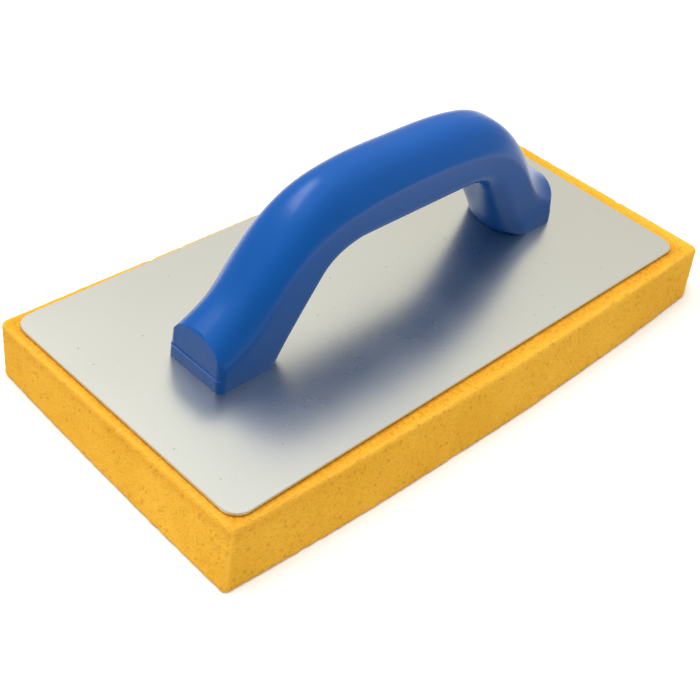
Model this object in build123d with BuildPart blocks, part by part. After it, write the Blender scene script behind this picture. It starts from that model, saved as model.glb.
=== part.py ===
from build123d import *
import os

os.makedirs("parts", exist_ok=True)

# A hand float for grouting: a foam pad glued under a sheet-metal plate, with a bow handle screwed on top.
# Millimetres. +X runs along the tool, +Z up. The origin is the middle of the pad's working face.

# Foam pad: the sides lean in towards the working face.
pad_length = 254
pad_width = 127
pad_thickness = 21
pad_lean = 2
pad_corner_radius = 3

# Glue film and backing plate. The plate is glued on by hand, a little off the pad's middle.
glue_thickness = 0.3
glue_margin = 4
plate_length = 235
plate_width = 112
plate_thickness = 1
plate_corner_radius = 6.5
plate_edge_break = 0.2
plate_middle = (-1.5, 3.5)
handle_middle = (0.2, 3.5)

glue_base = pad_thickness
plate_base = glue_base + glue_thickness
plate_top = plate_base + plate_thickness

# Bow handle. Heights are above the plate's top face and distances run from mid-length.
handle_length = 173.2
handle_width = 25.6
handle_corner_radius = 2.4
under_corner_radius = 4.3
crest_points = [(31.5, 58.7), (49, 52), (63, 38.8), (73, 27), (86.6, 17.6)]
shoulder_points = [(31, 49), (49, 42.7), (63, 29.4), (73, 16), (86.6, 9.3)]
crest_middle = 59.9
shoulder_middle = 51.3
under_height = 36.2
under_bend = 38.4
under_bend_radius = 22
leg_foot = 64
leg_lead = 9
rim_height = 4.9
rim_stand_out = 0.35
rim_start = 70
trim_gap = 0.01
section_stations = [0, 9, 18, 26, 33, 39, 44, 49, 54, 59, 64, 69, 74, 79, 83, 87.5]

# Wafer-head screws, driven up through the plate into the feet.
screw_spacing = 146
screw_crest_radius = 2.4
screw_root_radius = 1.8
screw_pitch = 2
screw_turns = 7
screw_neck = 1.5
screw_tip = 2.5
screw_head_radius = 5
screw_head_height = 1.6
head_edge = 0.7
screw_head_clearance = 1
hole_clearance = 0.1
drive_width = 1.1
drive_length = 5
drive_depth = 1

half_screw_spacing = screw_spacing / 2
screw_reach = plate_thickness + screw_neck + screw_turns * screw_pitch + screw_tip
screw_places = {"front_screw": -half_screw_spacing, "rear_screw": half_screw_spacing}


def height_at(outline, distance):
    """Height of a side-view outline at a distance along the handle."""
    station = Edge.make_line((distance, 0, -100), (distance, 0, 200))
    crossing = outline.edges().sort_by(lambda edge: edge.distance_to(station))[0]
    return crossing.closest_points(station)[0].Z


def bow(points, middle):
    """Smooth side-view outline through the middle and the same points on both sides."""
    right = [(x, 0, z) for x, z in points]
    left = [(-x, 0, z) for x, z in reversed(points)]
    return Edge.make_spline([Vector(*p) for p in left + [(0, 0, middle)] + right])


with BuildPart() as sponge_pad:
    with BuildSketch(Plane.XY) as working_face:
        RectangleRounded(pad_length - 2 * pad_lean, pad_width - 2 * pad_lean, pad_corner_radius)
    with BuildSketch(Plane.XY.offset(pad_thickness)) as glued_face:
        RectangleRounded(pad_length, pad_width, pad_corner_radius)
    loft()
    with BuildSketch(Plane.XY.offset(pad_thickness)) as head_pockets:
        with Locations(handle_middle):
            with GridLocations(screw_spacing, 0, 2, 1):
                Circle(screw_head_radius + screw_head_clearance)
    extrude(amount=-(screw_head_height + screw_head_clearance), mode=Mode.SUBTRACT)

sponge_pad.part.label = "sponge_pad"
export_step(sponge_pad.part, "parts/sponge_pad.step")


with BuildPart() as adhesive_layer:
    with BuildSketch(Plane.XY.offset(glue_base)) as film:
        with Locations(plate_middle):
            RectangleRounded(
                plate_length - 2 * glue_margin, plate_width - 2 * glue_margin, plate_corner_radius
            )
        with Locations(handle_middle):
            with GridLocations(screw_spacing, 0, 2, 1):
                Circle(screw_head_radius + screw_head_clearance, mode=Mode.SUBTRACT)
    extrude(amount=glue_thickness)

adhesive_layer.part.label = "adhesive_layer"
export_step(adhesive_layer.part, "parts/adhesive_layer.step")


with BuildPart() as backing_plate:
    with BuildSketch(Plane.XY.offset(plate_base)) as sheet:
        with Locations(plate_middle):
            RectangleRounded(plate_length, plate_width, plate_corner_radius)
        with Locations(handle_middle):
            with GridLocations(screw_spacing, 0, 2, 1):
                Circle(screw_crest_radius + hole_clearance, mode=Mode.SUBTRACT)
    extrude(amount=plate_thickness)
    top_rim = backing_plate.faces().sort_by(Axis.Z)[-1].outer_wire().edges()
    chamfer(top_rim, length=plate_edge_break)

backing_plate.part.label = "backing_plate"
export_step(backing_plate.part, "parts/backing_plate.step")


# The handle's three side-view outlines: the crest of the domed back, the shoulder line where the dome
# meets the flat sides, and the underside, which runs on below the plate's top face and is cut off there.
half_width = handle_width / 2
crest_outline = bow(crest_points, crest_middle)
shoulder_outline = bow(shoulder_points, shoulder_middle)
leg_slope = under_height / (leg_foot - under_bend)
leg_end = leg_foot + leg_lead
with BuildLine(Plane.XZ) as underside:
    FilletPolyline(
        (-handle_length, -leg_slope * leg_lead),
        (-leg_end, -leg_slope * leg_lead),
        (-under_bend, under_height),
        (under_bend, under_height),
        (leg_end, -leg_slope * leg_lead),
        (handle_length, -leg_slope * leg_lead),
        radius=[leg_lead, under_bend_radius, under_bend_radius, leg_lead],
    )

stations = [-x for x in reversed(section_stations[1:])] + section_stations
handle_base = Plane((*handle_middle, plate_top))
corner = half_width - under_corner_radius
with BuildPart() as handle:
    for station in stations:
        crest = height_at(crest_outline, station)
        shoulder = height_at(shoulder_outline, station)
        under = height_at(underside.line, station)
        rise = under + under_corner_radius
        across = Plane(handle_base.from_local_coords((station, 0, 0)), x_dir=(0, 1, 0), z_dir=(1, 0, 0))
        with BuildSketch(across) as section:
            with BuildLine():
                Line((-corner, under), (corner, under))
                RadiusArc((corner, under), (half_width, rise), -under_corner_radius)
                Line((half_width, rise), (half_width, shoulder))
                ThreePointArc((half_width, shoulder), (0, crest), (-half_width, shoulder))
                Line((-half_width, shoulder), (-half_width, rise))
                RadiusArc((-half_width, rise), (-corner, under), -under_corner_radius)
            make_face()
    loft()
    # Cut square to the plate, with rounded upright corners.
    with BuildSketch(handle_base) as footprint:
        RectangleRounded(handle_length, handle_width + 2 * trim_gap, handle_corner_radius)
    extrude(amount=2 * crest_middle, mode=Mode.INTERSECT)
    # A low rim stands out from each end face.
    with BuildSketch(handle_base) as rims:
        rim_length = handle_length / 2 + rim_stand_out - rim_start
        with GridLocations(2 * rim_start + rim_length, 0, 2, 1):
            RectangleRounded(rim_length, handle_width - 2 * trim_gap, handle_corner_radius)
    extrude(amount=rim_height)
    with BuildSketch(handle_base) as pilot_holes:
        with GridLocations(screw_spacing, 0, 2, 1):
            Circle(screw_crest_radius + hole_clearance)
    extrude(amount=screw_reach - plate_thickness + screw_neck, mode=Mode.SUBTRACT)

handle.part.label = "handle"
export_step(handle.part, "parts/handle.step")


for screw_name, screw_distance in screw_places.items():
    screw_x = handle_middle[0] + screw_distance
    screw_y = handle_middle[1]
    seat = Plane((screw_x, screw_y, plate_base), x_dir=(1, 0, 0), z_dir=(0, -1, 0))
    with BuildPart() as screw:
        with BuildSketch(seat) as half_section:
            with BuildLine():
                thread_base = plate_thickness + screw_neck
                thread_end = thread_base + screw_turns * screw_pitch
                outline = [(0, -screw_head_height), (screw_head_radius - head_edge, -screw_head_height)]
                outline += [(screw_head_radius, -head_edge), (screw_head_radius, 0)]
                outline += [(screw_crest_radius, 0), (screw_crest_radius, thread_base)]
                for turn in range(screw_turns):
                    root = thread_base + turn * screw_pitch + screw_pitch / 2
                    outline += [(screw_root_radius, root), (screw_crest_radius, root + screw_pitch / 2)]
                outline += [(screw_root_radius, thread_end + screw_pitch / 2), (0, screw_reach)]
                Polyline(outline, close=True)
            make_face()
        revolve(axis=Axis(seat.origin, (0, 0, 1)))
        # Cross recess in the head.
        with BuildSketch(Plane((screw_x, screw_y, plate_base - screw_head_height))) as recess:
            Rectangle(drive_length, drive_width)
            Rectangle(drive_width, drive_length)
        extrude(amount=drive_depth, mode=Mode.SUBTRACT)
    screw.part.label = screw_name
    export_step(screw.part, f"parts/{screw_name}.step")
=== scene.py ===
"""Grout float: a foam pad under a sheet-metal plate, with a moulded bow handle. Run in Blender 4.5."""

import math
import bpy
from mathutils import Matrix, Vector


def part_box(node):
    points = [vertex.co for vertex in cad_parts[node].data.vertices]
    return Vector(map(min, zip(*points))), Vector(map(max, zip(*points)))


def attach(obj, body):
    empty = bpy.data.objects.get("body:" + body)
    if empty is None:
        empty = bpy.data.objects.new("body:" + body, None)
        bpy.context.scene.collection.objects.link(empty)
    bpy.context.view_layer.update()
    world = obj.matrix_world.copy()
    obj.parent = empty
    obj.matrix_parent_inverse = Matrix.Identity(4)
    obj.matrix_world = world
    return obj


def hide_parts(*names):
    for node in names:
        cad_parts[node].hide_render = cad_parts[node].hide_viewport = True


bl_info = {
    "name": "Grout float",
    "version": (1, 0, 0),
    "blender": (4, 5, 0),
    "location": "3D View > Sidebar > Grout float",
    "description": "Builds the looks of a hand float for grouting round its packed CAD part",
    "category": "Add Mesh",
}

import bpy
import numpy as np
from mathutils import Matrix, Quaternion, Vector, noise

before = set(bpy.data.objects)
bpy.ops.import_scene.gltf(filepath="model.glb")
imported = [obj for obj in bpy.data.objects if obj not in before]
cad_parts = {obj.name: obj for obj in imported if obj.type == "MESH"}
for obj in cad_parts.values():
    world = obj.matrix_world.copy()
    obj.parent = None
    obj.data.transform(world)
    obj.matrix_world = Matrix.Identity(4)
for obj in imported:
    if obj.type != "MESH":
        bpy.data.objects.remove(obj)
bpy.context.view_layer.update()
PLATE_LOW, PLATE_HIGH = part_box("backing_plate")
PAD_LOW, PAD_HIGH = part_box("sponge_pad")
HANDLE_LOW, HANDLE_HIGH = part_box("handle")

MM = 0.001


# ---------------------------------------------------------------- colours and nodes


def linear(hex_colour):
    """Linear RGB from an sRGB hex value such as '#336eb6'."""
    channels = [int(hex_colour[i : i + 2], 16) / 255 for i in (1, 3, 5)]
    return [c / 12.92 if c <= 0.04045 else ((c + 0.055) / 1.055) ** 2.4 for c in channels]


def rgba(colour):
    return (*colour, 1.0)


def per_mm(size):
    """Texture scale that gives one feature for each size, in millimetres, on object coordinates in metres."""
    return 1.0 / (size * MM)


def add_node(tree, kind, settings=None, values=None, links=None):
    """Adds a node, sets its settings and socket values, and links sockets that other nodes feed."""
    node = tree.nodes.new(kind)
    for name, value in (settings or {}).items():
        setattr(node, name, value)
    for socket, value in (values or {}).items():
        node.inputs[socket].default_value = value
    for socket, source in (links or {}).items():
        tree.links.new(source, node.inputs[socket])
    return node


def new_material(name):
    """Empty node material, its node tree and its object coordinates, which are in metres."""
    material = bpy.data.materials.new(name)
    material.use_nodes = True
    tree = material.node_tree
    tree.nodes.clear()
    place = add_node(tree, "ShaderNodeTexCoord").outputs["Object"]
    return material, tree, place


# ---------------------------------------------------------------- settings


class StageSettings(bpy.types.PropertyGroup):
    floor_colour: bpy.props.FloatVectorProperty(
        name="Floor", description="Colour of the studio floor", size=3, subtype="COLOR",
        default=linear("#f8f8f6"),
    )
    sky_strength: bpy.props.FloatProperty(
        name="Surround", description="Strength of the white room all round", default=1.04, min=0,
    )
    key_power: bpy.props.FloatProperty(
        name="Key light", description="Power of the large soft light", default=6.0, min=0, unit="POWER",
    )


class PadSettings(bpy.types.PropertyGroup):
    cell: bpy.props.FloatProperty(
        name="Mesh spacing", description="Spacing of the pad's mesh", default=1.0 * MM, unit="LENGTH",
    )
    top_edge: bpy.props.FloatProperty(
        name="Top edge", description="Radius of the worn upper edge", default=2.0 * MM, unit="LENGTH",
    )
    bottom_edge: bpy.props.FloatProperty(
        name="Bottom edge", description="Radius of the working face's edge", default=1.3 * MM, unit="LENGTH",
    )
    corner: bpy.props.FloatProperty(
        name="Corners", description="Radius of the upright corners", default=2.4 * MM, unit="LENGTH",
    )
    pit_depth: bpy.props.FloatProperty(
        name="Pit depth", description="Depth of the open pits", default=0.8 * MM, unit="LENGTH",
    )
    skin: bpy.props.FloatVectorProperty(
        name="Foam", description="Colour of the foam where light reaches", size=3, subtype="COLOR",
        default=linear("#e9b033"),
    )
    # The pores' colour is painted shade: the foam is drawn darker inside its cells, where light does not
    # reach.
    depth: bpy.props.FloatVectorProperty(
        name="Pores", description="Colour of the foam inside its pores", size=3, subtype="COLOR",
        default=linear("#cb851b"),
    )


class PlateSettings(bpy.types.PropertyGroup):
    metal: bpy.props.FloatVectorProperty(
        name="Metal", description="Reflection colour of the sheet", size=3, subtype="COLOR",
        default=linear("#e2e2d9"),
    )
    roughness: bpy.props.FloatProperty(
        name="Roughness", description="Roughness of the satin surface", default=0.27, min=0, max=1,
    )


class HandleSettings(bpy.types.PropertyGroup):
    plastic: bpy.props.FloatVectorProperty(
        name="Plastic", description="Colour of the moulding", size=3, subtype="COLOR",
        default=linear("#044f9c"),
    )
    roughness: bpy.props.FloatProperty(
        name="Roughness", description="Roughness of the moulded skin", default=0.25, min=0, max=1,
    )
    lower_corner: bpy.props.FloatProperty(
        name="Under corners", description="Radius along the underside", default=4.3 * MM, unit="LENGTH",
    )
    end_corner: bpy.props.FloatProperty(
        name="End corners", description="Radius of the feet's upright corners", default=2.4 * MM,
        unit="LENGTH",
    )
    rim_height: bpy.props.FloatProperty(
        name="Rim height", description="Height of the rim at each foot", default=4.9 * MM, unit="LENGTH",
    )
    rim_step: bpy.props.FloatProperty(
        name="Rim step", description="How far the rim stands out", default=0.45 * MM, unit="LENGTH",
    )


# ---------------------------------------------------------------- materials


def polyurethane_foam_cut(settings):
    """Open-cell foam, cut from a block: it is dull, and its broken cells catch light at their rims, with
    painted shade making them a darker orange inside, and a few torn holes painted dark the same way."""
    material, tree, place = new_material("polyurethane_foam_cut")
    wobble = add_node(
        tree, "ShaderNodeTexNoise", values={"Scale": per_mm(2.2), "Detail": 2.0, "Roughness": 0.6},
        links={"Vector": place},
    )
    bent = add_node(
        tree, "ShaderNodeVectorMath", {"operation": "MULTIPLY_ADD"}, {1: (0.0007, 0.0007, 0.0007)},
        {0: wobble.outputs["Color"], 2: place},
    )
    # Cells are about 0.5 mm in such foam; they are drawn 0.95 mm wide, so that they show.
    cells = add_node(
        tree, "ShaderNodeTexVoronoi", {"feature": "F1"}, {"Scale": per_mm(0.95), "Randomness": 1.0},
        {"Vector": bent.outputs[0]},
    )
    pore = add_node(
        tree, "ShaderNodeMapRange", {"interpolation_type": "SMOOTHSTEP"},
        {"From Min": 0.12, "From Max": 0.48, "To Min": 0.4, "To Max": 1.0},
        {"Value": cells.outputs["Distance"]},
    )
    # Torn holes, about 1 mm across and 3 mm apart, with painted shade inside them.
    tears = add_node(
        tree, "ShaderNodeTexVoronoi", {"feature": "F1"}, {"Scale": per_mm(2.9), "Randomness": 1.0},
        {"Vector": bent.outputs[0]},
    )
    tear = add_node(
        tree, "ShaderNodeMapRange", {"interpolation_type": "SMOOTHSTEP"},
        {"From Min": 0.06, "From Max": 0.32, "To Min": 0.0, "To Max": 1.0},
        {"Value": tears.outputs["Distance"]},
    )
    shade = add_node(
        tree, "ShaderNodeTexNoise", values={"Scale": per_mm(26), "Detail": 4.0, "Roughness": 0.55},
        links={"Vector": place},
    )
    grain = add_node(
        tree, "ShaderNodeTexNoise", values={"Scale": per_mm(1.5), "Detail": 3.0, "Roughness": 0.7},
        links={"Vector": place},
    )
    # Where this mask is low, inside the cells and the torn holes, the foam takes the pores' colour as painted
    # shade; the same mask also raises the bump.
    open_cells = add_node(
        tree, "ShaderNodeMath", {"operation": "MULTIPLY"}, links={0: pore.outputs[0], 1: tear.outputs[0]},
    )
    # This colour is painted shade inside the pores, and is also the colour of the glue soaked into the foam.
    pore_shade_and_glue_colour = rgba(settings.depth)
    skin = rgba(settings.skin)
    colour = add_node(
        tree, "ShaderNodeMix", {"data_type": "RGBA"}, {6: pore_shade_and_glue_colour, 7: skin}, {0: open_cells.outputs[0]},
    )
    faded = [min(1.0, c * 1.12 + 0.015) for c in settings.skin]
    browned = [c * k for c, k in zip(settings.skin, (0.93, 0.86, 0.72))]
    cast = add_node(tree, "ShaderNodeValToRGB", links={0: shade.outputs[0]})
    cast.color_ramp.elements[0].position = 0.36
    cast.color_ramp.elements[0].color = rgba(browned)
    cast.color_ramp.elements[1].position = 0.66
    cast.color_ramp.elements[1].color = rgba(faded)
    toned = add_node(
        tree, "ShaderNodeMix", {"data_type": "RGBA", "blend_type": "MIX"}, {0: 0.45},
        {6: colour.outputs[2], 7: cast.outputs["Color"]},
    )
    # Glue has soaked into the foam along the plate; the mesh carries how much.
    soaked = add_node(tree, "ShaderNodeAttribute", {"attribute_name": "glue"})
    blotches = add_node(
        tree, "ShaderNodeMapRange", values={"From Min": 0.35, "From Max": 0.65, "To Min": 0.4, "To Max": 1.0},
        links={"Value": grain.outputs[0]},
    )
    stain = add_node(
        tree, "ShaderNodeMath", {"operation": "MULTIPLY"},
        links={0: soaked.outputs["Fac"], 1: blotches.outputs[0]},
    )
    stained = add_node(
        tree, "ShaderNodeMix", {"data_type": "RGBA"}, {7: pore_shade_and_glue_colour}, {0: stain.outputs[0], 6: toned.outputs[2]},
    )
    # The top edges and upright corners are painted paler, partly as painted highlight where the rounded edges
    # catch the light and partly as rubbing; the mesh carries this too.
    worn = add_node(tree, "ShaderNodeAttribute", {"attribute_name": "edge_highlight_and_wear"})
    rubbed = add_node(
        tree, "ShaderNodeMath", {"operation": "MULTIPLY"},
        links={0: worn.outputs["Fac"], 1: grain.outputs[0]},
    )
    # Paler foam for the top edges and upright corners: painted highlight and rubbing.
    pale = [min(1.0, c * 1.2 + 0.03) for c in settings.skin]
    finished = add_node(
        tree, "ShaderNodeMix", {"data_type": "RGBA"}, {7: rgba(pale)},
        {0: rubbed.outputs[0], 6: stained.outputs[2]},
    )
    height = add_node(
        tree, "ShaderNodeMath", {"operation": "MULTIPLY_ADD"}, {1: 0.7},
        {0: grain.outputs[0], 2: open_cells.outputs[0]},
    )
    bump = add_node(
        tree, "ShaderNodeBump", values={"Strength": 0.5, "Distance": 0.5 * MM},
        links={"Height": height.outputs[0]},
    )
    shader = add_node(
        tree, "ShaderNodeBsdfPrincipled",
        values={"Roughness": 0.95, "IOR": 1.45, "Specular IOR Level": 0.25},
        links={"Base Color": finished.outputs[2], "Normal": bump.outputs[0]},
    )
    add_node(tree, "ShaderNodeOutputMaterial", links={"Surface": shader.outputs["BSDF"]})
    return material


def aluminium_sheet_satin(settings):
    """Rolled sheet with a satin face: a warm grey that blurs reflections, more in rubbed patches.
    The sheet is thin, so it is a little wavy, and it has small dark specks."""
    material, tree, place = new_material("aluminium_sheet_satin")
    smudge = add_node(
        tree, "ShaderNodeTexNoise", values={"Scale": per_mm(34), "Detail": 3.0, "Roughness": 0.5},
        links={"Vector": place},
    )
    wave = add_node(
        tree, "ShaderNodeTexNoise", values={"Scale": per_mm(40), "Detail": 0.0}, links={"Vector": place},
    )
    dots = add_node(
        tree, "ShaderNodeTexVoronoi", {"feature": "F1"}, {"Scale": per_mm(6.5), "Randomness": 1.0},
        {"Vector": place},
    )
    speck = add_node(
        tree, "ShaderNodeMapRange", {"interpolation_type": "SMOOTHSTEP"},
        {"From Min": 0.035, "From Max": 0.075, "To Min": 0.0, "To Max": 1.0},
        {"Value": dots.outputs["Distance"]},
    )
    dark = rgba([c * 0.7 for c in settings.metal])
    tinted = add_node(
        tree, "ShaderNodeMix", {"data_type": "RGBA"}, {6: dark, 7: rgba(settings.metal)},
        {0: speck.outputs[0]},
    )
    rough = add_node(
        tree, "ShaderNodeMapRange",
        values={"To Min": settings.roughness - 0.05, "To Max": settings.roughness + 0.07},
        links={"Value": smudge.outputs[0]},
    )
    bump = add_node(
        tree, "ShaderNodeBump", values={"Strength": 0.5, "Distance": 0.3 * MM},
        links={"Height": wave.outputs[0]},
    )
    shader = add_node(
        tree, "ShaderNodeBsdfPrincipled", values={"Metallic": 1.0},
        links={"Base Color": tinted.outputs[2], "Roughness": rough.outputs[0], "Normal": bump.outputs[0]},
    )
    add_node(tree, "ShaderNodeOutputMaterial", links={"Surface": shader.outputs["BSDF"]})
    return material


def polypropylene_moulded(settings):
    """Injection-moulded plastic: a semi-gloss blue skin with a very fine orange-peel ripple, rub marks and
    flow shading."""
    material, tree, place = new_material("polypropylene_moulded")
    peel = add_node(
        tree, "ShaderNodeTexNoise", values={"Scale": per_mm(1.6), "Detail": 2.0, "Roughness": 0.5},
        links={"Vector": place},
    )
    flow = add_node(
        tree, "ShaderNodeTexNoise", values={"Scale": per_mm(30), "Detail": 3.0, "Roughness": 0.5},
        links={"Vector": place},
    )
    rubbed = add_node(
        tree, "ShaderNodeMapping", values={"Rotation": (0, 0.3, 0.4), "Scale": (1.0, 9.0, 9.0)},
        links={"Vector": place},
    )
    rub_field = add_node(
        tree, "ShaderNodeTexNoise", values={"Scale": per_mm(12), "Detail": 4.0, "Roughness": 0.65},
        links={"Vector": rubbed.outputs[0]},
    )
    rubs = add_node(
        tree, "ShaderNodeMapRange",
        values={"From Min": 0.55, "From Max": 0.75, "To Min": 0.0, "To Max": 0.03},
        links={"Value": rub_field.outputs[0]},
    )
    low = rgba([c * 0.88 for c in settings.plastic])
    high = rgba([min(1.0, c * 1.12) for c in settings.plastic])
    colour = add_node(
        tree, "ShaderNodeMix", {"data_type": "RGBA"}, {6: low, 7: high}, {0: flow.outputs[0]},
    )
    rough = add_node(
        tree, "ShaderNodeMath", {"operation": "ADD"}, {1: settings.roughness}, {0: rubs.outputs[0]},
    )
    bump = add_node(
        tree, "ShaderNodeBump", values={"Strength": 0.12, "Distance": 0.05 * MM},
        links={"Height": peel.outputs[0]},
    )
    shader = add_node(
        tree, "ShaderNodeBsdfPrincipled", values={"IOR": 1.49, "Specular IOR Level": 0.24},
        links={"Base Color": colour.outputs[2], "Roughness": rough.outputs[0], "Normal": bump.outputs[0]},
    )
    add_node(tree, "ShaderNodeOutputMaterial", links={"Surface": shader.outputs["BSDF"]})
    return material


def contact_adhesive_rolled():
    """Dried contact glue: a thin brown film, half glossy, with roller stipple."""
    material, tree, place = new_material("contact_adhesive_rolled")
    stipple = add_node(
        tree, "ShaderNodeTexNoise", values={"Scale": per_mm(1.2), "Detail": 3.0}, links={"Vector": place},
    )
    colour = add_node(
        tree, "ShaderNodeMix", {"data_type": "RGBA"},
        {6: rgba(linear("#5a3a1c")), 7: rgba(linear("#8a6030"))}, {0: stipple.outputs[0]},
    )
    bump = add_node(
        tree, "ShaderNodeBump", values={"Strength": 0.3, "Distance": 0.1 * MM},
        links={"Height": stipple.outputs[0]},
    )
    shader = add_node(
        tree, "ShaderNodeBsdfPrincipled", values={"Roughness": 0.45, "IOR": 1.5},
        links={"Base Color": colour.outputs[2], "Normal": bump.outputs[0]},
    )
    add_node(tree, "ShaderNodeOutputMaterial", links={"Surface": shader.outputs["BSDF"]})
    return material


def steel_zinc_plated():
    """Zinc-plated steel: cool bright grey with a slightly uneven passivated bloom."""
    material, tree, place = new_material("steel_zinc_plated")
    bloom = add_node(
        tree, "ShaderNodeTexNoise", values={"Scale": per_mm(3), "Detail": 3.0}, links={"Vector": place},
    )
    colour = add_node(
        tree, "ShaderNodeMix", {"data_type": "RGBA"},
        {6: rgba(linear("#b4b6b8")), 7: rgba(linear("#d3d2c4"))}, {0: bloom.outputs[0]},
    )
    rough = add_node(
        tree, "ShaderNodeMapRange", values={"To Min": 0.22, "To Max": 0.4}, links={"Value": bloom.outputs[0]},
    )
    shader = add_node(
        tree, "ShaderNodeBsdfPrincipled", values={"Metallic": 1.0},
        links={"Base Color": colour.outputs[2], "Roughness": rough.outputs[0]},
    )
    add_node(tree, "ShaderNodeOutputMaterial", links={"Surface": shader.outputs["BSDF"]})
    return material


def studio_paper(settings):
    """Matt studio paper: pale and even, with a faint fibre tone."""
    material, tree, place = new_material("studio_paper")
    fibre = add_node(
        tree, "ShaderNodeTexNoise", values={"Scale": per_mm(40), "Detail": 2.0}, links={"Vector": place},
    )
    colour = add_node(
        tree, "ShaderNodeMix", {"data_type": "RGBA"},
        {6: rgba([c * 0.985 for c in settings.floor_colour]), 7: rgba(settings.floor_colour)},
        {0: fibre.outputs[0]},
    )
    shader = add_node(
        tree, "ShaderNodeBsdfPrincipled", values={"Roughness": 1.0, "Specular IOR Level": 0.1},
        links={"Base Color": colour.outputs[2]},
    )
    add_node(tree, "ShaderNodeOutputMaterial", links={"Surface": shader.outputs["BSDF"]})
    return material


# ---------------------------------------------------------------- mesh helpers


def new_piece(name, points, faces, material, smooth_below=None):
    """Mesh object from points in metres; faces that meet at less than smooth_below degrees shade as one."""
    mesh = bpy.data.meshes.new(name)
    mesh.from_pydata(points, [], faces)
    mesh.validate()
    mesh.update()
    mesh.shade_smooth()
    if smooth_below is not None:
        mesh.set_sharp_from_angle(angle=math.radians(smooth_below))
    mesh.materials.append(material)
    piece = bpy.data.objects.new(name, mesh)
    bpy.context.scene.collection.objects.link(piece)
    return piece


def dress(node_name, material):
    """Gives a CAD node its material."""
    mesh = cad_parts[node_name].data
    mesh.materials.clear()
    mesh.materials.append(material)


def square_to_arc(a, b):
    """Moves a point of the unit square's outer corner onto the quarter disc that rounds it."""
    if a <= 0 or b <= 0:
        return a, b
    share = max(a, b) / math.hypot(a, b)
    return a * share, b * share


# ---------------------------------------------------------------- foam pad

# How far the foam reaches past the plate's four corners, in millimetres: first along X, then along Y.
# The pad was cut and glued by hand, so its faces lean and bow.
TOP_REACH = {
    "left_front": (2.0, 2.2),
    "right_front": (10.3, 5.2),
    "left_back": (3.3, 4.6),
    "right_back": (7.8, 3.2),
}
BASE_REACH = {
    "left_front": (8.1, 7.0),
    "right_front": (5.5, 9.2),
    "left_back": (4.1, 2.8),
    "right_back": (3.8, 1.8),
}
TOP_BOW = {"front": 2.4, "back": -0.7, "left": 0.3, "right": 0.4}
BASE_BOW = {"front": 4.2, "back": -0.6, "left": 0.8, "right": 0.4}
# The upright corner at the left of the back is rounded off more than the others.
BLUNT_CORNER = 1.6

# The foam's relief, in millimetres: how deep each layer of it is and how far apart its features are.
WAVE_DEPTH = 0.35
WAVE_SPACING = 38
COARSE_GRAIN_DEPTH = 0.16
COARSE_GRAIN_SPACING = 2.6
FINE_GRAIN_DEPTH = 0.1
FINE_GRAIN_SPACING = 1.3
# Torn patches have rougher grain and deeper pits.
TORN_SPACING = 17
TORN_PLACE = Vector((5, 2, 8))
TORN_LEVEL = 0.22
TORN_GRAIN = 2.2
# Pits are a little flattened, and their radius is a share of their spacing, from the first to the second.
PIT_SPACING = 5.2
PIT_FLATTENING = 1.4
PIT_RADII = (0.1, 0.32)
# The working face is rubbed flatter, and the foam is pressed up to the plate's edge.
RUBBED_RELIEF = 0.6
PRESSED_RELIEF = 0.2
PRESSED_REACH = 3.5
# How far the paler edges, painted highlight and rubbing, reach from an edge, and glue from the plate, in
# millimetres.
EDGE_HIGHLIGHT_AND_WEAR_REACH = 2.5
GLUE_REACH = 7


def pad_outline(u, v, reach, bow):
    """Point of the pad's plan at shares u along X and v along Y, between its corners, with bowed sides."""
    corners = {}
    for name, (out_x, out_y) in reach.items():
        x = PLATE_HIGH.x + out_x * MM if "right" in name else PLATE_LOW.x - out_x * MM
        y = PLATE_HIGH.y + out_y * MM if "back" in name else PLATE_LOW.y - out_y * MM
        corners[name] = Vector((x, y))
    front = corners["left_front"].lerp(corners["right_front"], u)
    back = corners["left_back"].lerp(corners["right_back"], u)
    point = front.lerp(back, v)
    arch_u = 4 * u * (1 - u)
    arch_v = 4 * v * (1 - v)
    point.y += (bow["back"] * v - bow["front"] * (1 - v)) * arch_u * MM
    point.x += (bow["right"] * u - bow["left"] * (1 - u)) * arch_v * MM
    return point


def pad_point(i, j, k, counts, size, settings):
    """Place of one point of the pad's box grid, with its edges and corners rounded."""
    half = [s / 2 for s in size]
    x, y, z = (c / n * s - h for c, n, s, h in zip((i, j, k), counts, size, half))
    inset = min(half[0] - abs(x), half[1] - abs(y))
    for radius, depth, sign in (
        (settings.top_edge, half[2] - z, 1),
        (settings.bottom_edge, half[2] + z, -1),
    ):
        if inset < radius and depth < radius:
            a, b = square_to_arc(1 - inset / radius, 1 - depth / radius)
            moved = radius * (1 - a)
            z = sign * (half[2] - radius * (1 - b))
            x *= (half[0] - moved) / (half[0] - inset)
            y *= (half[1] - moved) / (half[1] - inset)
            break
    corner = settings.corner * (BLUNT_CORNER if x < 0 < y else 1.0)
    over_x = abs(x) - half[0] + corner
    over_y = abs(y) - half[1] + corner
    if over_x > 0 and over_y > 0:
        a, b = square_to_arc(over_x / corner, over_y / corner)
        x = math.copysign(half[0] - corner * (1 - a), x)
        y = math.copysign(half[1] - corner * (1 - b), y)
    u = x / size[0] + 0.5
    v = y / size[1] + 0.5
    rise = z / size[2] + 0.5
    plan = pad_outline(u, v, BASE_REACH, BASE_BOW).lerp(pad_outline(u, v, TOP_REACH, TOP_BOW), rise)
    return Vector((plan.x, plan.y, PAD_LOW.z + rise * size[2]))


def gap_to_plate(place):
    """Distance from a place on the foam to the plate, in metres."""
    past_x = max(place.x - PLATE_HIGH.x, PLATE_LOW.x - place.x, 0.0)
    past_y = max(place.y - PLATE_HIGH.y, PLATE_LOW.y - place.y, 0.0)
    return math.hypot(past_x, past_y, PAD_HIGH.z - place.z)


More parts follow.
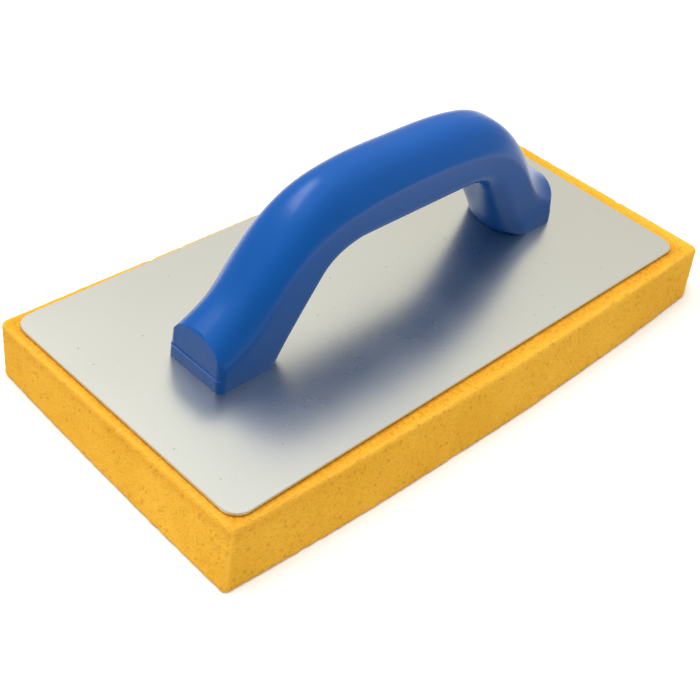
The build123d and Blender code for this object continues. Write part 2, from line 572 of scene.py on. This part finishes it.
def foam_depth(place, settings):
    """How deep the cut foam's surface lies at a place, in metres: open pits, torn patches and a slow wave."""
    wave = WAVE_DEPTH * (0.5 + 0.5 * noise.noise(place * per_mm(WAVE_SPACING)))
    coarse = COARSE_GRAIN_DEPTH * (1 + noise.noise(place * per_mm(COARSE_GRAIN_SPACING)))
    fine = FINE_GRAIN_DEPTH * (1 + noise.noise(place * per_mm(FINE_GRAIN_SPACING)))
    torn = max(0.0, noise.noise(place * per_mm(TORN_SPACING) + TORN_PLACE) - TORN_LEVEL)
    flattened = Vector((place.x, place.y, place.z * PIT_FLATTENING))
    distances, centres = noise.voronoi(flattened * per_mm(PIT_SPACING))
    # A number from 0 to 1 that is the pit's own.
    pick = noise.cell(centres[0] * 7.3)
    smallest, largest = PIT_RADII
    radius = smallest + (largest - smallest) * pick
    bowl = max(0.0, 1 - (distances[0] / radius) ** 2)
    pit = settings.pit_depth * bowl * (0.45 + 0.55 * pick) * (0.7 + 2 * torn)
    return (wave + (coarse + fine) * (1 + TORN_GRAIN * torn)) * MM + pit


def make_pad(settings, material):
    """The foam pad, as a box grid that takes the cut shape and then the foam's relief."""
    size = [PAD_HIGH.x - PAD_LOW.x, PAD_HIGH.y - PAD_LOW.y, PAD_HIGH.z - PAD_LOW.z]
    counts = [round(s / settings.cell) for s in size]
    index = {}
    points = []
    faces = []

    def corner(i, j, k):
        key = (i, j, k)
        if key not in index:
            index[key] = len(points)
            points.append(pad_point(i, j, k, counts, size, settings))
        return index[key]

    for axis in range(3):
        first, second = [a for a in range(3) if a != axis]
        for level in (0, counts[axis]):
            for a in range(counts[first]):
                for b in range(counts[second]):
                    loop = []
                    for da, db in ((0, 0), (1, 0), (1, 1), (0, 1)):
                        key = [0, 0, 0]
                        key[axis] = level
                        key[first] = a + da
                        key[second] = b + db
                        loop.append(corner(*key))
                    outward = (level > 0) != (axis == 1)
                    faces.append(loop if outward else loop[::-1])

    piece = new_piece("foam_pad", points, faces, material)
    vertices = piece.data.vertices
    # This attribute paints the top edges and upright corners paler: painted highlight where they catch the
    # light, and rubbing.
    edge_highlight_and_wear = piece.data.attributes.new("edge_highlight_and_wear", "FLOAT", "POINT")
    glue = piece.data.attributes.new("glue", "FLOAT", "POINT")
    for (i, j, k), number in index.items():
        gaps = [min(c, n - c) for c, n in zip((i, j, k), counts)]
        gaps[2] = counts[2] - k
        near = sorted(gaps)[1] * settings.cell
        edge_highlight_and_wear.data[number].value = max(0.0, 1 - near / (EDGE_HIGHLIGHT_AND_WEAR_REACH * MM))
        glue.data[number].value = max(0.0, 1 - gap_to_plate(vertices[number].co) / (GLUE_REACH * MM))
    normals = [v.normal.copy() for v in vertices]
    glue_low, glue_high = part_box("adhesive_layer")
    glued_depth = 0.3 * MM
    faces_down = -0.9
    for vertex, normal in zip(vertices, normals):
        place = vertex.co
        under_glue = (
            place.z > PAD_HIGH.z - glued_depth
            and glue_low.x - MM < place.x < glue_high.x + MM
            and glue_low.y - MM < place.y < glue_high.y + MM
        )
        if under_glue:
            continue
        if normal.z < faces_down:
            relief = RUBBED_RELIEF
        else:
            relief = min(1.0, PRESSED_RELIEF + gap_to_plate(place) / (PRESSED_REACH * MM))
        vertex.co = place - normal * foam_depth(place, settings) * relief
    piece.data.update()
    return piece


# ---------------------------------------------------------------- handle

# Side view of the moulding in millimetres: distance from the plate's middle, then height above the plate.
CREST = [
    (-86.4, 17.6), (-79.5, 22.4), (-73, 27.6), (-63, 39), (-49, 52.8), (-31.5, 59.9), (0, 61),
    (31.5, 59.4), (49.5, 52.4), (63.8, 39), (74, 27), (86.8, 17.8),
]
SHOULDER = [
    (-86.4, 9.2), (-73, 16), (-63, 29.4), (-49, 42.7), (-31, 49), (0, 51.3),
    (31, 49), (49.5, 42.9), (63.8, 29.6), (74, 16), (86.8, 9.6),
]
# The underside is level, then bends round into the straight inner faces of the legs.
UNDER_HEIGHT = 36.2
UNDER_BENDS = (-37.5, 39)
FOOT_INNERS = (-59, 61.5)
UNDER_RADIUS = 23
# The inner corners of the legs are broad rounds: how far they reach across, then up.
LEG_CORNERS = ((8, 10), (11.8, 15))
# Distances from mid-length over which the grip's section turns into the leg's.
LEG_BLEND = (28, 60)
# The dome meets the flat side in a narrow crease, and is flatter on top where its power is higher: on the
# grip, then what the legs add.
CREASE = (0.35, 1.3)
DOME_POWER = (2.5, 0.7)
# How far the left and right feet flare out, below which height, and over which distances from mid-length.
FOOT_FLARES = (0.5, 1.3)
FLARE_HEIGHT = 13
FLARE_BLEND = (56, 72)
# The end face's softened upper edge, and half the height over which the rim steps out.
SOFT_EDGE = 0.6
RIM_EDGE = 0.07

# Sections from mid-length to each end's corner, and round that corner.
LENGTH_STEPS = 112
END_STEPS = 16
UNDER_STEPS = 4
CORNER_STEPS = 10
SIDE_STEPS = 6
DOME_STEPS = 18


def smooth_outline(knots):
    """Function for a smooth outline through knots, as a natural cubic spline."""
    x = np.array([k[0] for k in knots], float)
    z = np.array([k[1] for k in knots], float)
    n = len(x)
    gap = np.diff(x)
    rows = np.eye(n)
    right = np.zeros(n)
    for i in range(1, n - 1):
        rows[i, i - 1 : i + 2] = gap[i - 1], 2 * (gap[i - 1] + gap[i]), gap[i]
        right[i] = 6 * ((z[i + 1] - z[i]) / gap[i] - (z[i] - z[i - 1]) / gap[i - 1])
    bend = np.linalg.solve(rows, right)

    def height(distance):
        d = min(max(distance, x[0]), x[-1])
        i = min(int(np.searchsorted(x, d, side="right")) - 1, n - 2)
        a = (x[i + 1] - d) / gap[i]
        b = (d - x[i]) / gap[i]
        curve = ((a**3 - a) * bend[i] + (b**3 - b) * bend[i + 1]) * gap[i] ** 2 / 6
        return a * z[i] + b * z[i + 1] + curve

    return height


def under_outline(distance):
    """Height of the handle's underside: flat, then round bends into the straight inner faces of the legs."""
    far = distance > 0
    bend_at = abs(UNDER_BENDS[far])
    d = abs(distance)
    slope = UNDER_HEIGHT / (abs(FOOT_INNERS[far]) - bend_at)
    turn = math.atan(slope)
    tangent = UNDER_RADIUS * math.tan(turn / 2)
    start = bend_at - tangent
    stop = bend_at + tangent * math.cos(turn)
    if d <= start:
        return UNDER_HEIGHT
    if d < stop:
        return UNDER_HEIGHT - UNDER_RADIUS + math.sqrt(UNDER_RADIUS**2 - (d - start) ** 2)
    return UNDER_HEIGHT - slope * (d - bend_at)


def ease(value, low, high):
    """Smooth share from 0 at low to 1 at high."""
    share = min(1.0, max(0.0, (value - low) / (high - low)))
    return share * share * (3 - 2 * share)


def handle_section(distance, settings, crest, shoulder):
    """Half of the cross-section at a distance from the plate's middle, as (y, z) in metres, from the
    underside's centre line to the crest: rounded lower corner, flat side, narrow crease and domed back."""
    half_width = (HANDLE_HIGH.y - HANDLE_LOW.y) / 2
    under = under_outline(distance) * MM
    edge = shoulder(distance) * MM
    top = crest(distance) * MM
    # The corner grows from the grip's small radius to a broad round down the legs.
    leg = ease(abs(distance), *LEG_BLEND)
    broad_across, broad_up = LEG_CORNERS[distance > 0]
    across = settings.lower_corner + leg * (broad_across * MM - settings.lower_corner)
    up = settings.lower_corner + leg * (broad_up * MM - settings.lower_corner)
    up = min(up, (edge - under) * 0.8)
    inner = half_width - across
    side = [(inner * step / UNDER_STEPS, under) for step in range(UNDER_STEPS + 1)]
    for step in range(1, CORNER_STEPS + 1):
        turn = math.radians(90) * step / CORNER_STEPS
        side.append((inner + across * math.sin(turn), under + up * (1 - math.cos(turn))))
    foot = max(0.0, under + up)
    rim_low = max(foot, settings.rim_height - RIM_EDGE * MM)
    rim_high = max(foot, settings.rim_height + RIM_EDGE * MM)
    crease = (CREASE[0] + CREASE[1] * leg) * MM
    for height in ((foot + rim_low) / 2, rim_low, rim_high):
        side.append((half_width, min(height, edge - crease * 2)))
    for step in range(1, SIDE_STEPS + 1):
        side.append((half_width, rim_high + (edge - crease - rim_high) * step / SIDE_STEPS))
    power = DOME_POWER[0] + DOME_POWER[1] * leg
    for step in range(DOME_STEPS):
        out = 1 - (step + 0.25) / (DOME_STEPS + 0.25)
        side.append((half_width * out, top - (top - edge) * out**power))
    side.append((0.0, top))
    flare = FOOT_FLARES[distance > 0] * MM * ease(abs(distance), *FLARE_BLEND)
    section = []
    for y, z in side:
        wider = flare * (y / half_width) ** 2 * ease(-z, -FLARE_HEIGHT * MM, 0.0)
        section.append((y + wider, max(z, 0.0)))
    return section


def handle_stations(settings):
    """Sections along the handle: distance from the plate's middle, how far the corner draws the side in, how
    far the end face's soft upper edge drops, and the share of the rim's step that shows."""
    radius = settings.end_corner
    soft = SOFT_EDGE * MM
    stations = []
    for sign, knot in ((-1, CREST[0]), (1, CREST[-1])):
        half_length = abs(knot[0]) * MM
        straight = half_length - radius
        half = [(sign * straight * step / LENGTH_STEPS, 0.0, 0.0, 0.0) for step in range(LENGTH_STEPS)]
        for step in range(END_STEPS + 1):
            turn = math.radians(90) * step / END_STEPS
            reach = straight + radius * math.sin(turn)
            into_edge = max(0.0, reach - half_length + soft)
            drop = soft - math.sqrt(soft * soft - into_edge * into_edge)
            half.append((sign * reach, radius * (1 - math.cos(turn)), drop, math.sin(turn)))
        # The section at mid-length comes once, with the second half.
        stations += half[:0:-1] if sign < 0 else half
    return stations


def make_handle(settings, material):
    """The handle, as a skin over its sections, closed by a strip of faces at each end."""
    crest = smooth_outline(CREST)
    shoulder = smooth_outline(SHOULDER)
    half_width = (HANDLE_HIGH.y - HANDLE_LOW.y) / 2
    middle_x = (PLATE_LOW.x + PLATE_HIGH.x) / 2
    middle_y = (HANDLE_LOW.y + HANDLE_HIGH.y) / 2
    points = []
    loops = []
    for distance, pull, drop, rim_share in handle_stations(settings):
        section = handle_section(distance / MM, settings, crest, shoulder)
        top = section[-1][1]
        limit = half_width - pull
        ring = []
        for y, z in section:
            height = z if z <= 0.0 else min(z, top - drop)
            flare = max(0.0, y - half_width)
            out = settings.rim_step * rim_share if height < settings.rim_height else 0.0
            x = distance + math.copysign(out, distance)
            ring.append((x, min(y, limit + flare), height))
        mirrored = [(x, -y, z) for x, y, z in reversed(ring[1:-1])]
        loop = []
        for x, y, z in ring + mirrored:
            loop.append(len(points))
            points.append((middle_x + x, middle_y + y, HANDLE_LOW.z + z))
        loops.append(loop)

    faces = []
    around = len(loops[0])
    for first, second in zip(loops, loops[1:]):
        for i in range(around):
            j = (i + 1) % around
            faces.append((first[i], second[i], second[j], first[j]))
    half = around // 2
    for loop, forward in ((loops[0], False), (loops[-1], True)):
        for i in range(half):
            right = (loop[i], loop[i + 1])
            left = (loop[-i - 1] if i + 1 < half else loop[half], loop[-i] if i > 0 else loop[0])
            face = list(dict.fromkeys((*right, *left)))
            if len(face) > 2:
                faces.append(face if forward else face[::-1])
    piece = new_piece("bow_handle", points, faces, material, smooth_below=38)
    even = piece.modifiers.new("even_shading", "WEIGHTED_NORMAL")
    even.keep_sharp = True
    return piece


# ---------------------------------------------------------------- stage

# The floor's half-width in metres, and its gap under the pad in millimetres.
FLOOR_HALF = 3.0
FLOOR_GAP = 0.1
# The walls are a little darker and warmer than the ceiling: height of each tone, then its colour.
ROOM_TONES = [
    (0.0, (0.56, 0.53, 0.47)),
    (0.5, (0.68, 0.66, 0.6)),
    (0.75, (0.99, 1.0, 1.0)),
]
# The room is dimmer towards the front left: the way to its lit side, and the share of light that is left.
LIT_SIDE = (0.62, 0.78, 0.0)
DIM_SHARE = 0.55
# Name, place and widths in metres, share of the key light's power, and whether reflections show it.
LIGHTS = [
    ("ceiling_panel", (-0.1, 0.15, 0.9), (0.8, 0.8), 1.0, False),
    ("strip_light", (-0.18, 0.46, 0.72), (0.5, 0.05), 0.27, True),
]
# The camera stands high over the front left corner and is rolled a little.
CAMERA_AZIMUTH = math.radians(-52.65)
CAMERA_ELEVATION = math.radians(40.09)
CAMERA_ROLL = math.radians(10.65)
CAMERA_DISTANCE = 0.4304
CAMERA_LENS = 64.61
CAMERA_SHIFT = (-0.0394, 0.0048)
# It aims at a point this far from the plate's middle, in metres along X and Y.
AIM_OFFSET = (-0.02974, -0.02921)


def make_floor(settings):
    """A wide sheet of pale paper, just under the pad."""
    z = PAD_LOW.z - FLOOR_GAP * MM
    signs = [(-1, -1), (1, -1), (1, 1), (-1, 1)]
    corners = [(x * FLOOR_HALF, y * FLOOR_HALF, z) for x, y in signs]
    floor = new_piece("studio_floor", corners, [(0, 1, 2, 3)], studio_paper(settings))


def make_room(settings):
    """The pale room that lights the object from all round."""
    world = bpy.data.worlds.new("white_room")
    world.use_nodes = True
    tree = world.node_tree
    place = add_node(tree, "ShaderNodeTexCoord").outputs["Generated"]
    direction = add_node(tree, "ShaderNodeSeparateXYZ", links={0: place})
    wall = add_node(tree, "ShaderNodeValToRGB", links={"Fac": direction.outputs["Z"]})
    tones = wall.color_ramp.elements
    tones.new(0.5)
    for tone, (height, colour) in zip(tones, ROOM_TONES):
        tone.position = height
        tone.color = rgba(colour)
    facing = add_node(
        tree, "ShaderNodeVectorMath", {"operation": "DOT_PRODUCT"}, {1: LIT_SIDE}, {0: place},
    )
    dim = add_node(
        tree, "ShaderNodeMapRange", {"interpolation_type": "SMOOTHSTEP"},
        {"From Min": -0.95, "From Max": 0.15, "To Min": DIM_SHARE, "To Max": 1.0},
        {"Value": facing.outputs["Value"]},
    )
    toned = add_node(
        tree, "ShaderNodeMix", {"data_type": "RGBA", "blend_type": "MULTIPLY"}, {0: 1.0},
        {6: wall.outputs["Color"], 7: dim.outputs[0]},
    )
    background = tree.nodes["Background"]
    background.inputs["Strength"].default_value = settings.sky_strength
    tree.links.new(toned.outputs[2], background.inputs["Color"])
    bpy.context.scene.world = world


def make_lights(settings):
    """Area lights that face the origin, with their long side along X."""
    for name, place, widths, share, glints in LIGHTS:
        light = bpy.data.lights.new(name, "AREA")
        light.shape = "RECTANGLE"
        light.size, light.size_y = widths
        light.energy = settings.key_power * share
        lamp = bpy.data.objects.new(name, light)
        lamp.location = place
        lamp.visible_glossy = glints
        lamp.rotation_mode = "QUATERNION"
        down = -Vector(place).normalized()
        along = Vector((1, 0, 0)) - down * down.x
        along.normalize()
        facing = Matrix((along, (-down).cross(along), -down)).transposed()
        lamp.rotation_quaternion = facing.to_quaternion()
        bpy.context.scene.collection.objects.link(lamp)


def make_camera():
    """The camera, with its lens and shift."""
    away = Vector((
        math.sin(CAMERA_AZIMUTH) * math.cos(CAMERA_ELEVATION),
        -math.cos(CAMERA_AZIMUTH) * math.cos(CAMERA_ELEVATION),
        math.sin(CAMERA_ELEVATION),
    ))
    plate_middle = (PLATE_LOW + PLATE_HIGH) / 2
    target = Vector((plate_middle.x + AIM_OFFSET[0], plate_middle.y + AIM_OFFSET[1], PLATE_HIGH.z))
    camera = bpy.data.objects.new("camera", bpy.data.cameras.new("camera"))
    camera.location = target + away * CAMERA_DISTANCE
    camera.rotation_mode = "QUATERNION"
    camera.rotation_quaternion = Quaternion(away, CAMERA_ROLL) @ (-away).to_track_quat("-Z", "Y")
    camera.data.lens = CAMERA_LENS
    camera.data.sensor_width = 36
    camera.data.shift_x, camera.data.shift_y = CAMERA_SHIFT
    camera.data.clip_start = 0.01
    bpy.context.scene.collection.objects.link(camera)
    bpy.context.scene.camera = camera


# ---------------------------------------------------------------- operators


class GROUTFLOAT_OT_stage(bpy.types.Operator):
    """Builds the floor, the room, the lights and the camera"""

    bl_idname = "grout_float.stage"
    bl_label = "Stage"

    def execute(self, context):
        settings = context.scene.float_stage
        make_floor(settings)
        make_room(settings)
        make_lights(settings)
        make_camera()
        context.scene.view_settings.view_transform = "Standard"
        return {"FINISHED"}


class GROUTFLOAT_OT_pad(bpy.types.Operator):
    """Builds the foam pad with its leaning sides, edges painted paler as highlight and rubbing, and open pits
    """

    bl_idname = "grout_float.pad"
    bl_label = "Foam pad"

    def execute(self, context):
        settings = context.scene.float_pad
        pad = make_pad(settings, polyurethane_foam_cut(settings))
        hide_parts("sponge_pad")
        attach(pad, "root")
        return {"FINISHED"}


class GROUTFLOAT_OT_plate(bpy.types.Operator):
    """Finishes the backing plate"""

    bl_idname = "grout_float.plate"
    bl_label = "Backing plate"

    def execute(self, context):
        dress("backing_plate", aluminium_sheet_satin(context.scene.float_plate))
        return {"FINISHED"}


class GROUTFLOAT_OT_handle(bpy.types.Operator):
    """Builds the bow handle"""

    bl_idname = "grout_float.handle"
    bl_label = "Bow handle"

    def execute(self, context):
        settings = context.scene.float_handle
        handle = make_handle(settings, polypropylene_moulded(settings))
        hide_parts("handle")
        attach(handle, "root")
        return {"FINISHED"}


class GROUTFLOAT_OT_fixings(bpy.types.Operator):
    """Finishes the glue film and the two screws"""

    bl_idname = "grout_float.fixings"
    bl_label = "Glue and screws"

    def execute(self, context):
        dress("adhesive_layer", contact_adhesive_rolled())
        zinc = steel_zinc_plated()
        for screw in ("front_screw", "rear_screw"):
            dress(screw, zinc)
        return {"FINISHED"}


SETTINGS = {
    "float_stage": StageSettings,
    "float_pad": PadSettings,
    "float_plate": PlateSettings,
    "float_handle": HandleSettings,
}
OPERATORS = [
    GROUTFLOAT_OT_stage,
    GROUTFLOAT_OT_pad,
    GROUTFLOAT_OT_plate,
    GROUTFLOAT_OT_handle,
    GROUTFLOAT_OT_fixings,
]


class GROUTFLOAT_PT_panel(bpy.types.Panel):
    """Lists the steps and their sizes and colours"""

    bl_idname = "GROUTFLOAT_PT_panel"
    bl_label = "Grout float"
    bl_space_type = "VIEW_3D"
    bl_region_type = "UI"
    bl_category = "Grout float"

    def draw(self, context):
        for operator in OPERATORS:
            self.layout.operator(operator.bl_idname)
        for name, group in SETTINGS.items():
            box = self.layout.box()
            settings = getattr(context.scene, name)
            for field in group.__annotations__:
                box.prop(settings, field)


def register():
    for name, group in SETTINGS.items():
        bpy.utils.register_class(group)
        setattr(bpy.types.Scene, name, bpy.props.PointerProperty(type=group))
    for operator in OPERATORS:
        bpy.utils.register_class(operator)
    bpy.utils.register_class(GROUTFLOAT_PT_panel)


def unregister():
    bpy.utils.unregister_class(GROUTFLOAT_PT_panel)
    for operator in reversed(OPERATORS):
        bpy.utils.unregister_class(operator)
    for name, group in reversed(SETTINGS.items()):
        delattr(bpy.types.Scene, name)
        bpy.utils.unregister_class(group)


def main():
    register()
    bpy.ops.grout_float.stage()
    bpy.ops.grout_float.pad()
    bpy.ops.grout_float.plate()
    bpy.ops.grout_float.handle()
    bpy.ops.grout_float.fixings()


if __name__ == "__main__":
    main()
